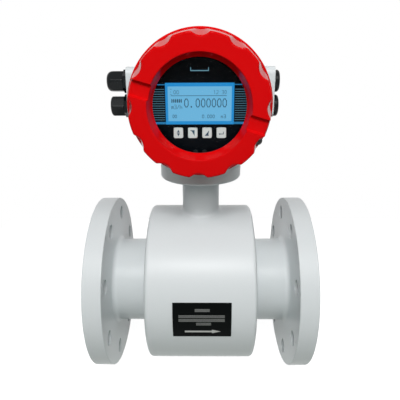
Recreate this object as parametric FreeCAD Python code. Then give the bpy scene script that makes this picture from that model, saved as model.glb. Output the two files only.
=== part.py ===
import FreeCAD, Part
import math
import os

# Flanged electromagnetic flow meter, DN100: a lined measuring tube inside a coil drum,
# with a transmitter head on a short neck.
# Frame: origin at the centre of the flow bore. X runs along the flow, the display faces
# -Y, and Z is up. All lengths are in millimetres and all angles in degrees.

# Measuring tube, liner and flanges
TUBE_OD = 108.0
TUBE_WALL = 4.0
LINER_WALL = 3.0
LINER_FLARE_T = 2.5
BODY_LENGTH = 264.0
FLANGE_OD = 220.0
FLANGE_T = 22.0
FLANGE_EDGE_R = 1.0
BOLT_EDGE_W = 20.0
BOLT_COUNT = 8
BOLT_HOLE_D = 18.0
FLARE_GAP = 3.0
WELD_LEG = 6.0

# Coil drum
DRUM_OD = 200.0
DRUM_WIDTH = 129.5
DRUM_WALL = 3.0
DRUM_CORNER_R = 5.0
DRUM_WELD_LEG = 2.5

# Magnet system inside the drum
POLE_SHOE_T = 3.0
POLE_SHOE_LENGTH = 64.0
POLE_SHOE_SPAN = 80.0
POLE_CORE_SIZE = 52.0
COIL_T = 13.0
COIL_WIDTH = 18.0
COIL_GAP = 1.0
YOKE_T = 2.5
YOKE_GAP = 11.0

# Electrodes
ELECTRODE_D = 6.0
ELECTRODE_HEAD_D = 11.0
ELECTRODE_HEAD_T = 2.2
ELECTRODE_LENGTH = 26.0
BUSH_OD = 12.0
BUSH_LENGTH = 12.0
ELECTRODE_NUT_AF = 10.0
ELECTRODE_NUT_T = 5.0

# Label on the drum
LABEL_W = 67.0
LABEL_H = 44.0
LABEL_T = 0.6
LABEL_X = 1.7
LABEL_Z = 1.5

# Neck
NECK_OD = 46.0
NECK_WALL = 3.0
NECK_WELD_R = 5.0
NECK_FLANGE_OD = 98.5
NECK_FLANGE_T = 17.5
NECK_FLANGE_EDGE_R = 3.0
NECK_GASKET_T = 1.5
NECK_GASKET_INSET = 1.0
NECK_SCREW_D = 8.0
NECK_SCREW_PCD = 72.0
NECK_SCREW_GRIP = 6.5
NECK_SCREW_HEAD_D = 13.0
NECK_SCREW_HEAD_T = 8.0
NECK_SCREW_KEY_AF = 6.0

# Transmitter housing
HEAD_Z = 238.0
THREAD_D = 125.4
SPIGOT_WALL = 4.0
SPIGOT_LENGTH = 16.0
HOUSING_LENGTH = 120.0
HOUSING_STEP = 6.3
HOUSING_RIM_STEP = 10.3
HOUSING_RIM_T = 5.0
FOOT_OD = 88.0
FOOT_H = 4.5
FOOT_RECESS_H = 8.0
WIRE_HOLE_D = 16.0
WIRE_HOLE_Y = -24.0
WIRE_HOLE_RISE = 6.0
PARTITION_T = 6.0
PARTITION_Y = -7.0

# Side bosses and their M20 ports
BOSS_REACH = 19.0
BOSS_HEIGHT = 59.0
BOSS_DEPTH = 30.0
BOSS_RISE = 7.6
BOSS_CORNER_R = 8.0
PORT_D = 20.0
PORT_PITCH = 29.0
PORT_RISE = 5.5
PORT_Y = 20.0

# Screw-on covers
COVER_T = 35.0
COVER_WALL = 13.0
COVER_DRAFT = 5.5
COVER_LIP_T = 3.0
COVER_EDGE = 1.5
COVER_FACE_T = 11.0
COVER_GAP = 0.3
COLLAR_WALL = 4.0
COLLAR_GAP = 2.0
GLASS_LEDGE = 5.5
SIGHT_DEPTH = 16.0
SIGHT_FLARE = 4.3
WEB_T = 6.0
WEB_COVE = 3.0
SCALLOP_COUNT = 12
SCALLOP_R = 13.0
SCALLOP_DEPTH = 4.3
SCALLOP_TILT = 14.8
SCALLOP_PHASE = 89.0
CHANNEL_W = 16.0
CHANNEL_FLOOR_W = 13.0
CHANNEL_DEPTH = 4.0
CHANNEL_ANGLE = -16.5
GLASS_T = 5.0
WINDOW_GASKET_T = 1.0
RETAINER_T = 3.0
RETAINER_W = 4.0
RETAINER_PIN_D = 2.4
SEAL_T = 2.5
SEAL_W = 2.6
LOCK_SCREW_D = 5.0
LOCK_HEAD_D = 9.0
LOCK_HEAD_T = 4.0
LOCK_KEY_D = 3.5
LOCK_KEY_DEPTH = 2.0
LOCK_INSET = 4.3
LOCK_SCALLOP = 8

# Display stack
BEZEL_T = 4.0
BEZEL_GAP = 1.0
LCD_W = 70.2
LCD_H = 41.4
LCD_T = 8.0
LCD_INSET = 0.5
LCD_RISE = 1.4
KEY_W = 9.8
KEY_H = 10.8
KEY_CORNER_R = 1.5
KEY_PITCH = 14.95
KEY_DROP = 28.0
KEY_PROUD = 1.2
KEY_FLANGE = 1.5
KEY_FLANGE_T = 1.0
KEY_TRAVEL = 0.5
SWITCH_SIZE = 6.0
BOARD_T = 1.6
BOARD_GAP = 5.0
POST_D = 6.0
POST_INSET = 9.0
MAIN_BOARD_LIFT = 12.0
POWER_MODULE_W = 50.0
POWER_MODULE_H = 36.0
POWER_MODULE_T = 20.0
BEZEL_SCREW_D = 2.5
BEZEL_SCREW_HEAD_T = 1.0
BEZEL_SCREW_PITCH = 9.8
BEZEL_SCREW_INSET = 10.3

# Terminals
TERMINAL_W = 70.0
TERMINAL_H = 15.0
TERMINAL_T = 16.0
TERMINAL_PITCH_Z = 30.0
TERMINAL_SCREW_D = 5.2
TERMINAL_SCREW_T = 1.5
TERMINAL_SCREW_COUNT = 6
TERMINAL_SLOT_W = 0.8

# Cable glands and blanking plugs
WASHER_T = 1.2
WASHER_OD = 26.0
GLAND_AF = 24.0
GLAND_HEX_T = 3.5
GLAND_STUB = 10.0
GLAND_NECK = 9.0
GLAND_NECK_D = 18.6
GLAND_BORE_D = 13.0
INSERT_BORE_D = 9.0
INSERT_WALL = 2.8
INSERT_SEAT = 5.5
NUT_END_T = 2.5
NUT_AF = 23.0
NUT_CHAMFER = 0.4
NUT_DOME_STEPS = 5
UPPER_NUT_LENGTH = 19.8
UPPER_NUT_DOME = 9.3
UPPER_NUT_END_D = 13.8
UPPER_NUT_ANGLE = 20.0
LOWER_NUT_LENGTH = 16.8
LOWER_NUT_DOME = 4.5
LOWER_NUT_END_D = 15.6
LOWER_NUT_ANGLE = 30.0
PLUG_HEAD_D = 26.0
PLUG_HEAD_T = 5.2
PLUG_EDGE_R = 3.0
PLUG_STUB = 8.0
PLUG_SLOT_W = 2.5
PLUG_SLOT_DEPTH = 2.0

# Earth screw on the neck flange
EARTH_D = 5.0
EARTH_HEAD_D = 9.0
EARTH_HEAD_T = 3.5
EARTH_WASHER_OD = 12.0
EARTH_WASHER_T = 1.0
EARTH_SLOT_W = 1.2
EARTH_SLOT_DEPTH = 1.5
EARTH_DEPTH = 9.0

# Clearances
FIT_GAP = 0.05
MOVING_GAP = 0.3
SCREW_RUNOUT = 1.0
PICK_SLACK = 1.0

# Sizes that follow from the ones above
TUBE_R = TUBE_OD / 2
TUBE_BORE_R = TUBE_R - TUBE_WALL
LINER_OUTER_R = TUBE_BORE_R - FIT_GAP
FLOW_BORE_R = TUBE_BORE_R - LINER_WALL
HALF_LENGTH = BODY_LENGTH / 2
BOLT_PCD = FLANGE_OD - 2 * BOLT_EDGE_W
FLARE_R = BOLT_PCD / 2 - BOLT_HOLE_D / 2 - FLARE_GAP
DRUM_R = DRUM_OD / 2
DRUM_HALF = DRUM_WIDTH / 2
SHOE_R = TUBE_R + COIL_GAP + POLE_SHOE_T
COIL_R = SHOE_R + COIL_GAP
YOKE_R = COIL_R + COIL_T + YOKE_GAP
NECK_R = NECK_OD / 2
NECK_FLANGE_R = NECK_FLANGE_OD / 2
THREAD_R = THREAD_D / 2
HOUSING_R = THREAD_R + HOUSING_STEP
HOUSING_RIM_R = THREAD_R + HOUSING_RIM_STEP
HOUSING_HALF = HOUSING_LENGTH / 2
CAVITY_R = THREAD_R - SPIGOT_WALL
FOOT_R = FOOT_OD / 2
FOOT_Z = HEAD_Z - HOUSING_R - FOOT_H
NECK_FLANGE_TOP = FOOT_Z - NECK_GASKET_T
NECK_FLANGE_Z = NECK_FLANGE_TOP - NECK_FLANGE_T
PORT_FACE_X = HOUSING_R + BOSS_REACH
PORT_HEIGHTS = {"upper": HEAD_Z + PORT_RISE + PORT_PITCH / 2, "lower": HEAD_Z + PORT_RISE - PORT_PITCH / 2}
COVER_FACE_D = HOUSING_HALF + COVER_T
COVER_LIP_R = THREAD_R + COVER_WALL
COVER_FACE_R = COVER_LIP_R - COVER_DRAFT
COLLAR_R = CAVITY_R - COLLAR_GAP
SEAT_R = COLLAR_R - COLLAR_WALL
SIGHT_R = SEAT_R - GLASS_LEDGE
SEAT_D = COVER_FACE_D - SIGHT_DEPTH
GLASS_D = SEAT_D - WINDOW_GASKET_T
RETAINER_D = GLASS_D - GLASS_T
COLLAR_END_D = RETAINER_D - RETAINER_T - BEZEL_GAP
BEZEL_D = COLLAR_END_D - BEZEL_GAP
LCD_D = BEZEL_D - LCD_INSET
DISPLAY_BOARD_D = LCD_D - LCD_T
POST_R = CAVITY_R - POST_INSET
HEX_CORNER = 2 / math.sqrt(3)


def cylinder(axis, radius, start, end, at=(0, 0)):
    """A cylinder along X, Y or Z from start to end. at holds the other two coordinates."""
    base, direction = {
        "x": ((start, at[0], at[1]), (1, 0, 0)),
        "y": ((at[0], start, at[1]), (0, 1, 0)),
        "z": ((at[0], at[1], start), (0, 0, 1)),
    }[axis]
    return Part.makeCylinder(radius, end - start, FreeCAD.Vector(*base), FreeCAD.Vector(*direction))


def ring(axis, outer, inner, start, end, at=(0, 0)):
    """A plain tube or washer."""
    return cylinder(axis, outer, start, end, at).cut(cylinder(axis, inner, start, end, at))


def box(x, y, z):
    """A box from three (low, high) pairs."""
    corner = FreeCAD.Vector(x[0], y[0], z[0])
    return Part.makeBox(x[1] - x[0], y[1] - y[0], z[1] - z[0], corner)


def rounded_box(x, y, z, axis, radius):
    """A box whose four edges along one axis are rounded."""
    block = box(x, y, z)
    spread = {"x": "XLength", "y": "YLength", "z": "ZLength"}[axis]
    length = getattr(block.BoundBox, spread)
    edges = [edge for edge in block.Edges if getattr(edge.BoundBox, spread) > length / 2]
    return block.makeFillet(radius, edges)


def hexagon(across_flats, start, end, turn=0.0):
    """A hexagonal prism along X, centred on the X axis. At turn 0 a corner points up."""
    corner_r = across_flats / 2 * HEX_CORNER
    points = []
    for step in range(7):
        angle = math.radians(60 * step + turn)
        points.append(FreeCAD.Vector(start, corner_r * math.sin(angle), corner_r * math.cos(angle)))
    return Part.Face(Part.makePolygon(points)).extrude(FreeCAD.Vector(end - start, 0, 0))


def turned_x(outline):
    """Revolve a closed outline of (x, radius) points about the X axis."""
    points = [FreeCAD.Vector(x, 0, radius) for x, radius in outline + outline[:1]]
    return Part.Face(Part.makePolygon(points)).revolve(FreeCAD.Vector(), FreeCAD.Vector(1, 0, 0), 360)


def turned_y(outline, side):
    """Revolve (radius, distance) points about the head's axis, on the -Y or the +Y side."""
    points = [FreeCAD.Vector(radius, side * reach, HEAD_Z) for radius, reach in outline + outline[:1]]
    centre = FreeCAD.Vector(0, 0, HEAD_Z)
    return Part.Face(Part.makePolygon(points)).revolve(centre, FreeCAD.Vector(0, 1, 0), 360)


def head_disc(radius, near, far, side, hole=0.0):
    """A disc or ring on the head's axis between two distances from its mid-plane."""
    start, end = sorted((side * near, side * far))
    disc = cylinder("y", radius, start, end, (0, HEAD_Z))
    if hole:
        disc = disc.cut(cylinder("y", hole, start, end, (0, HEAD_Z)))
    return disc


def on_circle(radius, angle, centre=(0.0, 0.0)):
    """A point on a circle in a plane."""
    turn = math.radians(angle)
    return centre[0] + radius * math.cos(turn), centre[1] + radius * math.sin(turn)


def weld_bead(x, towards, leg):
    """A concave fillet weld around the tube, against a wall at x."""
    foot = FreeCAD.Vector(x + towards * leg, 0, TUBE_R + FIT_GAP)
    root = FreeCAD.Vector(x, 0, TUBE_R + FIT_GAP)
    top = FreeCAD.Vector(x, 0, TUBE_R + FIT_GAP + leg)
    reach = leg * (1 - math.sqrt(0.5))
    middle = FreeCAD.Vector(x + towards * reach, 0, TUBE_R + FIT_GAP + reach)
    wire = Part.Wire([
        Part.LineSegment(foot, root).toShape(),
        Part.LineSegment(root, top).toShape(),
        Part.Arc(top, middle, foot).toShape(),
    ])
    return Part.Face(wire).revolve(FreeCAD.Vector(), FreeCAD.Vector(1, 0, 0), 360)


# Measuring tube


def electrode_hole(radius, side):
    """A hole through one wall of the tube on the electrode axis."""
    start, end = sorted((0.0, side * (TUBE_R + 1)))
    return cylinder("y", radius, start, end)


def measuring_tube():
    tube = ring("x", TUBE_R, TUBE_BORE_R, -HALF_LENGTH, HALF_LENGTH)
    for side in (-1, 1):
        tube = tube.cut(electrode_hole(BUSH_OD / 2 + FIT_GAP, side))
    return tube


def flange(side):
    inner = side * (HALF_LENGTH - FLANGE_T)
    outer = side * HALF_LENGTH
    start, end = sorted((inner, outer))
    plate = cylinder("x", FLANGE_OD / 2, start, end)
    rims = [edge for edge in plate.Edges if len(edge.Vertexes) == 1]
    plate = plate.makeFillet(FLANGE_EDGE_R, rims)
    plate = plate.cut(cylinder("x", TUBE_R + FIT_GAP, start, end))
    for index in range(BOLT_COUNT):
        at = on_circle(BOLT_PCD / 2, 360 / BOLT_COUNT * (index + 0.5))
        plate = plate.cut(cylinder("x", BOLT_HOLE_D / 2, start, end, at))
    return plate


def liner():
    end = HALF_LENGTH + LINER_FLARE_T
    lining = ring("x", LINER_OUTER_R, FLOW_BORE_R, -end, end)
    for side in (-1, 1):
        start, end = sorted((0.0, side * (FLOW_BORE_R + ELECTRODE_HEAD_T)))
        lining = lining.cut(cylinder("y", ELECTRODE_HEAD_D / 2 + FIT_GAP, start, end))
        lining = lining.cut(electrode_hole(ELECTRODE_D / 2 + FIT_GAP, side))
    return lining


def liner_flares():
    """The rubber facings that lie on the two flanges around the liner's ends."""
    flares = []
    for side in (-1, 1):
        start, end = sorted((side * HALF_LENGTH, side * (HALF_LENGTH + LINER_FLARE_T)))
        flares.append(ring("x", FLARE_R, LINER_OUTER_R, start, end))
    return Part.makeCompound(flares)


def tube_welds():
    """The beads at both flanges and at both ends of the drum."""
    beads = []
    for side in (-1, 1):
        beads.append(weld_bead(side * (HALF_LENGTH - FLANGE_T), -side, WELD_LEG))
        beads.append(weld_bead(side * DRUM_HALF, side, DRUM_WELD_LEG))
    return Part.makeCompound(beads)


def electrode(side):
    """A pin whose head lies flush in the liner."""
    start, end = sorted((side * FLOW_BORE_R, side * (FLOW_BORE_R + ELECTRODE_HEAD_T)))
    head = cylinder("y", ELECTRODE_HEAD_D / 2, start, end)
    start, end = sorted((side * FLOW_BORE_R, side * (FLOW_BORE_R + ELECTRODE_LENGTH)))
    return head.fuse(cylinder("y", ELECTRODE_D / 2, start, end)).removeSplitter()


def electrode_bush(side):
    start, end = sorted((side * TUBE_BORE_R, side * (TUBE_BORE_R + BUSH_LENGTH)))
    return ring("y", BUSH_OD / 2, ELECTRODE_D / 2 + FIT_GAP, start, end)


def electrode_nut(side):
    start = TUBE_BORE_R + BUSH_LENGTH
    nut = hexagon(ELECTRODE_NUT_AF, start, start + ELECTRODE_NUT_T)
    nut = nut.cut(cylinder("x", ELECTRODE_D / 2 + FIT_GAP, start, start + ELECTRODE_NUT_T))
    nut.rotate(FreeCAD.Vector(), FreeCAD.Vector(0, 0, 1), side * 90)
    return nut


# Drum and magnet system


def coil_housing():
    shell = cylinder("x", DRUM_R, -DRUM_HALF, DRUM_HALF)
    rims = [edge for edge in shell.Edges if len(edge.Vertexes) == 1]
    shell = shell.makeFillet(DRUM_CORNER_R, rims)
    inner_half = DRUM_HALF - DRUM_WALL
    hollow = cylinder("x", DRUM_R - DRUM_WALL, -inner_half, inner_half)
    rims = [edge for edge in hollow.Edges if len(edge.Vertexes) == 1]
    hollow = hollow.makeFillet(DRUM_CORNER_R - DRUM_WALL, rims)
    shell = shell.cut(hollow)
    shell = shell.cut(cylinder("x", TUBE_R + FIT_GAP, -DRUM_HALF, DRUM_HALF))
    return shell.cut(cylinder("z", NECK_R - NECK_WALL, 0, DRUM_R))


def pole(side):
    """A curved pole shoe with the block that carries the flux to the yoke."""
    half = POLE_SHOE_LENGTH / 2
    shoe = ring("x", SHOE_R, TUBE_R + COIL_GAP, -half, half)
    span = POLE_SHOE_SPAN / 2
    shoe = shoe.common(box((-half, half), (-span, span), (0, SHOE_R)))
    core_half = POLE_CORE_SIZE / 2
    core = box((-core_half, core_half), (-core_half, core_half), (0, YOKE_R))
    core = core.common(ring("x", YOKE_R - FIT_GAP, TUBE_R + COIL_GAP, -core_half, core_half))
    piece = shoe.fuse(core).removeSplitter()
    return piece if side > 0 else piece.mirror(FreeCAD.Vector(), FreeCAD.Vector(0, 0, 1))


def coil(side):
    """A saddle coil wound around the pole block."""
    inner = POLE_CORE_SIZE / 2 + COIL_GAP
    outer = inner + COIL_WIDTH
    corner = COIL_WIDTH / 2
    frame = rounded_box((-outer, outer), (-outer, outer), (0, YOKE_R), "z", corner)
    frame = frame.cut(box((-inner, inner), (-inner, inner), (0, YOKE_R)))
    winding = frame.common(ring("x", COIL_R + COIL_T, COIL_R, -outer, outer))
    return winding if side > 0 else winding.mirror(FreeCAD.Vector(), FreeCAD.Vector(0, 0, 1))


def magnetic_yoke():
    half = POLE_CORE_SIZE / 2 + COIL_GAP + COIL_WIDTH
    yoke = ring("x", YOKE_R + YOKE_T, YOKE_R, -half, half)
    return yoke.cut(cylinder("z", WIRE_HOLE_D / 2, 0, DRUM_R, (half - WIRE_HOLE_D, 0)))


def flow_label():
    """A thin plate that follows the drum's front."""
    x = (LABEL_X - LABEL_W / 2, LABEL_X + LABEL_W / 2)
    z = (LABEL_Z - LABEL_H / 2, LABEL_Z + LABEL_H / 2)
    skin = ring("x", DRUM_R + LABEL_T, DRUM_R, x[0], x[1])
    return skin.common(box(x, (-DRUM_R - LABEL_T, 0), z))


# Neck


def neck_tube():
    tube = ring("z", NECK_R, NECK_R - NECK_WALL, 0, NECK_FLANGE_TOP)
    return tube.cut(cylinder("x", DRUM_R, -DRUM_HALF, DRUM_HALF))


def neck_weld():
    """The fillet weld in the saddle between drum and neck."""
    drum = cylinder("x", DRUM_R, -DRUM_HALF, DRUM_HALF)
    neck = cylinder("z", NECK_R, 0, NECK_FLANGE_Z)
    joined = drum.fuse(neck)
    saddle = []
    for edge in joined.Edges:
        bounds = edge.BoundBox
        round_the_neck = bounds.XLength < NECK_OD + PICK_SLACK
        if round_the_neck and bounds.ZMin > DRUM_R - NECK_R and bounds.ZMax < DRUM_R + PICK_SLACK:
            saddle.append(edge)
    return joined.makeFillet(NECK_WELD_R, saddle).cut(drum).cut(neck)


def neck_screw_places():
    return [on_circle(NECK_SCREW_PCD / 2, 45 + 90 * index) for index in range(4)]


def neck_flange():
    plate = cylinder("z", NECK_FLANGE_R, NECK_FLANGE_Z, NECK_FLANGE_TOP)
    rims = [edge for edge in plate.Edges if len(edge.Vertexes) == 1]
    plate = plate.makeFillet(NECK_FLANGE_EDGE_R, rims)
    plate = plate.cut(cylinder("z", NECK_R + FIT_GAP, NECK_FLANGE_Z, NECK_FLANGE_TOP))
    head_r = NECK_SCREW_HEAD_D / 2 + MOVING_GAP
    for at in neck_screw_places():
        plate = plate.cut(cylinder("z", NECK_SCREW_D / 2 + FIT_GAP, NECK_FLANGE_Z, NECK_FLANGE_TOP, at))
        plate = plate.cut(cylinder("z", head_r, NECK_FLANGE_Z, NECK_FLANGE_Z + NECK_SCREW_HEAD_T, at))
    hole_end = NECK_FLANGE_R - EARTH_DEPTH - SCREW_RUNOUT
    return plate.cut(cylinder("y", EARTH_D / 2 + FIT_GAP, hole_end, NECK_FLANGE_R, (0, earth_z())))


def neck_gasket():
    sheet = ring("z", FOOT_R - NECK_GASKET_INSET, NECK_R, NECK_FLANGE_TOP, FOOT_Z)
    for at in neck_screw_places():
        sheet = sheet.cut(cylinder("z", NECK_SCREW_D / 2 + FIT_GAP, NECK_FLANGE_TOP, FOOT_Z, at))
    return sheet


def neck_screws():
    screws = []
    for at in neck_screw_places():
        head_top = NECK_FLANGE_Z + NECK_SCREW_HEAD_T
        head = cylinder("z", NECK_SCREW_HEAD_D / 2, NECK_FLANGE_Z, head_top, at)
        key = hexagon(NECK_SCREW_KEY_AF, 0, NECK_SCREW_HEAD_T / 2)
        key.rotate(FreeCAD.Vector(), FreeCAD.Vector(0, 1, 0), -90)
        key.translate(FreeCAD.Vector(at[0], at[1], NECK_FLANGE_Z))
        shank = cylinder("z", NECK_SCREW_D / 2, head_top, FOOT_Z + NECK_SCREW_GRIP, at)
        screws.append(head.cut(key).fuse(shank).removeSplitter())
    return Part.makeCompound(screws)


def earth_z():
    return NECK_FLANGE_Z + NECK_FLANGE_T / 2


def earth_screw():
    """A slotted screw and washer at the back of the neck flange."""
    at = (0, earth_z())
    face = NECK_FLANGE_R
    washer_end = face + EARTH_WASHER_T
    end = washer_end + EARTH_HEAD_T
    screw = cylinder("y", EARTH_D / 2, face - EARTH_DEPTH, face, at)
    screw = screw.fuse(cylinder("y", EARTH_WASHER_OD / 2, face, washer_end, at))
    screw = screw.fuse(cylinder("y", EARTH_HEAD_D / 2, washer_end, end, at))
    half = EARTH_SLOT_W / 2
    slot = box((-EARTH_HEAD_D, EARTH_HEAD_D), (end - EARTH_SLOT_DEPTH, end), (at[1] - half, at[1] + half))
    return screw.cut(slot).removeSplitter()


# Transmitter head


def port_holes():
    """The four M20 holes through the bosses and the housing's wall."""
    holes = []
    for height in PORT_HEIGHTS.values():
        for side in (-1, 1):
            start, end = sorted((side * (CAVITY_R - PORT_D), side * PORT_FACE_X))
            holes.append(cylinder("x", PORT_D / 2, start, end, (PORT_Y, height)))
    return holes


def head_housing():
    """The round double-ended case: two chambers on either side of a partition."""
    mouth = HOUSING_HALF + SPIGOT_LENGTH
    split = {-1: -PARTITION_Y, 1: PARTITION_Y}
    solids = [head_disc(CAVITY_R, PARTITION_Y - PARTITION_T / 2, PARTITION_Y + PARTITION_T / 2, 1)]
    for side in (-1, 1):
        chamber = head_disc(HOUSING_R, split[side], HOUSING_HALF, side)
        chamber = chamber.fuse(head_disc(HOUSING_RIM_R, HOUSING_HALF - HOUSING_RIM_T, HOUSING_HALF, side))
        chamber = chamber.fuse(head_disc(THREAD_R, HOUSING_HALF, mouth, side))
        chamber = chamber.cut(head_disc(CAVITY_R, split[side], mouth, side))
        for hole in port_holes() + [wire_hole()]:
            chamber = chamber.cut(hole)
        solids.append(chamber.removeSplitter())
    return Part.makeCompound(solids)


def wire_hole():
    """The passage from the neck up into the front chamber."""
    return cylinder("z", WIRE_HOLE_D / 2, FOOT_Z, HEAD_Z - CAVITY_R + WIRE_HOLE_RISE, (0, WIRE_HOLE_Y))


def housing_bosses():
    """The flat-faced blocks cast on the two sides of the case for the cable ports."""
    z = HEAD_Z + BOSS_RISE
    block = rounded_box(
        (-PORT_FACE_X, PORT_FACE_X),
        (PORT_Y - BOSS_DEPTH / 2, PORT_Y + BOSS_DEPTH / 2),
        (z - BOSS_HEIGHT / 2, z + BOSS_HEIGHT / 2),
        "x", BOSS_CORNER_R,
    )
    block = block.cut(head_disc(HOUSING_R, -HOUSING_HALF, HOUSING_HALF, 1))
    for hole in port_holes():
        block = block.cut(hole)
    return block


def housing_foot():
    """The round foot of the case, which the neck flange is bolted to."""
    foot = cylinder("z", FOOT_R, FOOT_Z, HEAD_Z)
    foot = foot.cut(head_disc(HOUSING_R, -HOUSING_HALF, HOUSING_HALF, 1))
    foot = foot.cut(cylinder("z", NECK_R + NECK_WALL, FOOT_Z, FOOT_Z + FOOT_RECESS_H))
    for at in neck_screw_places():
        hole_end = FOOT_Z + NECK_SCREW_GRIP + SCREW_RUNOUT
        foot = foot.cut(cylinder("z", NECK_SCREW_D / 2 + FIT_GAP, FOOT_Z, hole_end, at))
    return foot.cut(wire_hole())


def cover_outside():
    """The outline that both covers share: sight bore, front face, drafted side and lip."""
    return [
        (SIGHT_R, SEAT_D),
        (SIGHT_R + SIGHT_FLARE, COVER_FACE_D),
        (COVER_FACE_R - COVER_EDGE, COVER_FACE_D),
        (COVER_FACE_R, COVER_FACE_D - COVER_EDGE),
        (COVER_LIP_R - COVER_EDGE, HOUSING_HALF + COVER_GAP + COVER_LIP_T),
        (COVER_LIP_R, HOUSING_HALF + COVER_GAP + COVER_LIP_T - COVER_EDGE),
        (COVER_LIP_R, HOUSING_HALF + COVER_GAP),
    ]


def cover_thread_side():
    """The outline behind the lip: seal counterbore and thread."""
    seal_r = THREAD_R + 2 * MOVING_GAP + SEAL_W + MOVING_GAP
    seal_top = HOUSING_HALF + SEAL_T + FIT_GAP
    return [
        (seal_r, HOUSING_HALF + COVER_GAP),
        (seal_r, seal_top),
        (THREAD_R + MOVING_GAP, seal_top),
        (THREAD_R + MOVING_GAP, COVER_FACE_D - COVER_FACE_T),
    ]


def scallop(angle, side):
    """A tilted cutter: it bites deepest at the cover's face and runs out before the lip."""
    reach = COVER_FACE_R - SCALLOP_DEPTH + SCALLOP_R
    cutter = cylinder("y", SCALLOP_R, -COVER_T, COVER_T)
    cutter.rotate(FreeCAD.Vector(), FreeCAD.Vector(1, 0, 0), -side * SCALLOP_TILT)
    cutter.translate(FreeCAD.Vector(0, side * COVER_FACE_D, HEAD_Z + reach))
    cutter.rotate(FreeCAD.Vector(0, 0, HEAD_Z), FreeCAD.Vector(0, 1, 0), 90 - angle)
    return cutter


def scallop_angle(index):
    return SCALLOP_PHASE + 360 / SCALLOP_COUNT * index


def cover_grips(body, side):
    """Cut the finger scallops, the channel across the face and the lock screw's holes."""
    lip_top = HOUSING_HALF + COVER_GAP + COVER_LIP_T
    start, end = sorted((side * lip_top, side * (COVER_FACE_D + COVER_T)))
    before_lip = cylinder("y", 2 * COVER_LIP_R, start, end, (0, HEAD_Z))
    for index in range(SCALLOP_COUNT):
        body = body.cut(scallop(scallop_angle(index), side).common(before_lip))
    floor = COVER_FACE_D - CHANNEL_DEPTH
    length = 2 * COVER_LIP_R
    section = [
        FreeCAD.Vector(-length / 2, side * COVER_FACE_D, HEAD_Z + CHANNEL_W / 2),
        FreeCAD.Vector(-length / 2, side * COVER_FACE_D, HEAD_Z - CHANNEL_W / 2),
        FreeCAD.Vector(-length / 2, side * floor, HEAD_Z - CHANNEL_FLOOR_W / 2),
        FreeCAD.Vector(-length / 2, side * floor, HEAD_Z + CHANNEL_FLOOR_W / 2),
    ]
    channel = Part.Face(Part.makePolygon(section + section[:1])).extrude(FreeCAD.Vector(length, 0, 0))
    channel.rotate(FreeCAD.Vector(0, 0, HEAD_Z), FreeCAD.Vector(0, 1, 0), -CHANNEL_ANGLE)
    body = body.cut(channel)
    start, end = sorted((side * HOUSING_HALF, side * lip_top))
    body = body.cut(cylinder("y", LOCK_SCREW_D / 2 + FIT_GAP, start, end, lock_place()))
    start, end = sorted((side * lip_top, side * COVER_FACE_D))
    return body.cut(cylinder("y", LOCK_HEAD_D / 2 + MOVING_GAP, start, end, lock_place()))


def lock_place():
    return on_circle(COVER_LIP_R - LOCK_INSET, scallop_angle(LOCK_SCALLOP), (0, HEAD_Z))


def front_cover():
    """The ring that carries the window, with an inner collar behind the glass seat."""
    pocket = COVER_FACE_D - COVER_FACE_T
    outline = cover_outside() + cover_thread_side()
    outline += [(COLLAR_R, pocket), (COLLAR_R, COLLAR_END_D), (SEAT_R, COLLAR_END_D), (SEAT_R, SEAT_D)]
    return cover_grips(turned_y(outline, -1), -1)


def rear_cover():
    """The same cover with a blind web in place of the window."""
    pocket = COVER_FACE_D - COVER_FACE_T
    web = SEAT_D - WEB_T
    outline = [(0, SEAT_D)] + cover_outside() + cover_thread_side()
    outline += [(SEAT_R, pocket), (SEAT_R - WEB_COVE, web), (0, web)]
    return cover_grips(turned_y(outline, 1), 1)


def lock_screw(side):
    at = lock_place()
    lip_top = HOUSING_HALF + COVER_GAP + COVER_LIP_T
    start, end = sorted((side * (HOUSING_HALF + 2 * COVER_GAP), side * lip_top))
    shank = cylinder("y", LOCK_SCREW_D / 2, start, end, at)
    start, end = sorted((side * lip_top, side * (lip_top + LOCK_HEAD_T)))
    head = cylinder("y", LOCK_HEAD_D / 2, start, end, at)
    start, end = sorted((side * (lip_top + LOCK_HEAD_T - LOCK_KEY_DEPTH), side * (lip_top + LOCK_HEAD_T)))
    socket = cylinder("y", LOCK_KEY_D / 2, start, end, at)
    return head.cut(socket).fuse(shank).removeSplitter()


def cover_seal(side):
    inner = THREAD_R + 2 * MOVING_GAP
    return head_disc(inner + SEAL_W, HOUSING_HALF, HOUSING_HALF + SEAL_T, side, inner)


def window_gasket():
    return head_disc(SEAT_R - FIT_GAP, GLASS_D, SEAT_D, -1, SIGHT_R + 1)


def window_glass():
    return head_disc(SEAT_R - FIT_GAP, RETAINER_D, GLASS_D, -1)


def window_retainer():
    """The threaded ring behind the glass, with two holes for a pin spanner."""
    back = RETAINER_D - RETAINER_T
    retainer = head_disc(SEAT_R - FIT_GAP, back, RETAINER_D, -1, SEAT_R - RETAINER_W)
    for angle in (0, 180):
        at = on_circle(SEAT_R - RETAINER_W / 2, angle, (0, HEAD_Z))
        retainer = retainer.cut(cylinder("y", RETAINER_PIN_D / 2, -RETAINER_D, -back, at))
    return retainer


# Display stack


def key_centres():
    return [(index - 1.5) * KEY_PITCH for index in range(4)]


def key_block(x, width, height, near, far):
    """A round-cornered block at a key's place, between two distances from the mid-plane."""
    z = HEAD_Z - KEY_DROP
    return rounded_box(
        (x - width / 2, x + width / 2), (-far, -near), (z - height / 2, z + height / 2), "y", KEY_CORNER_R
    )


def post_places():
    return [on_circle(POST_R, 45 + 90 * index, (0, HEAD_Z)) for index in range(4)]


def bezel_screw_places():
    z = HEAD_Z - CAVITY_R + BEZEL_SCREW_INSET
    return [(-BEZEL_SCREW_PITCH / 2, z), (BEZEL_SCREW_PITCH / 2, z)]


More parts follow.
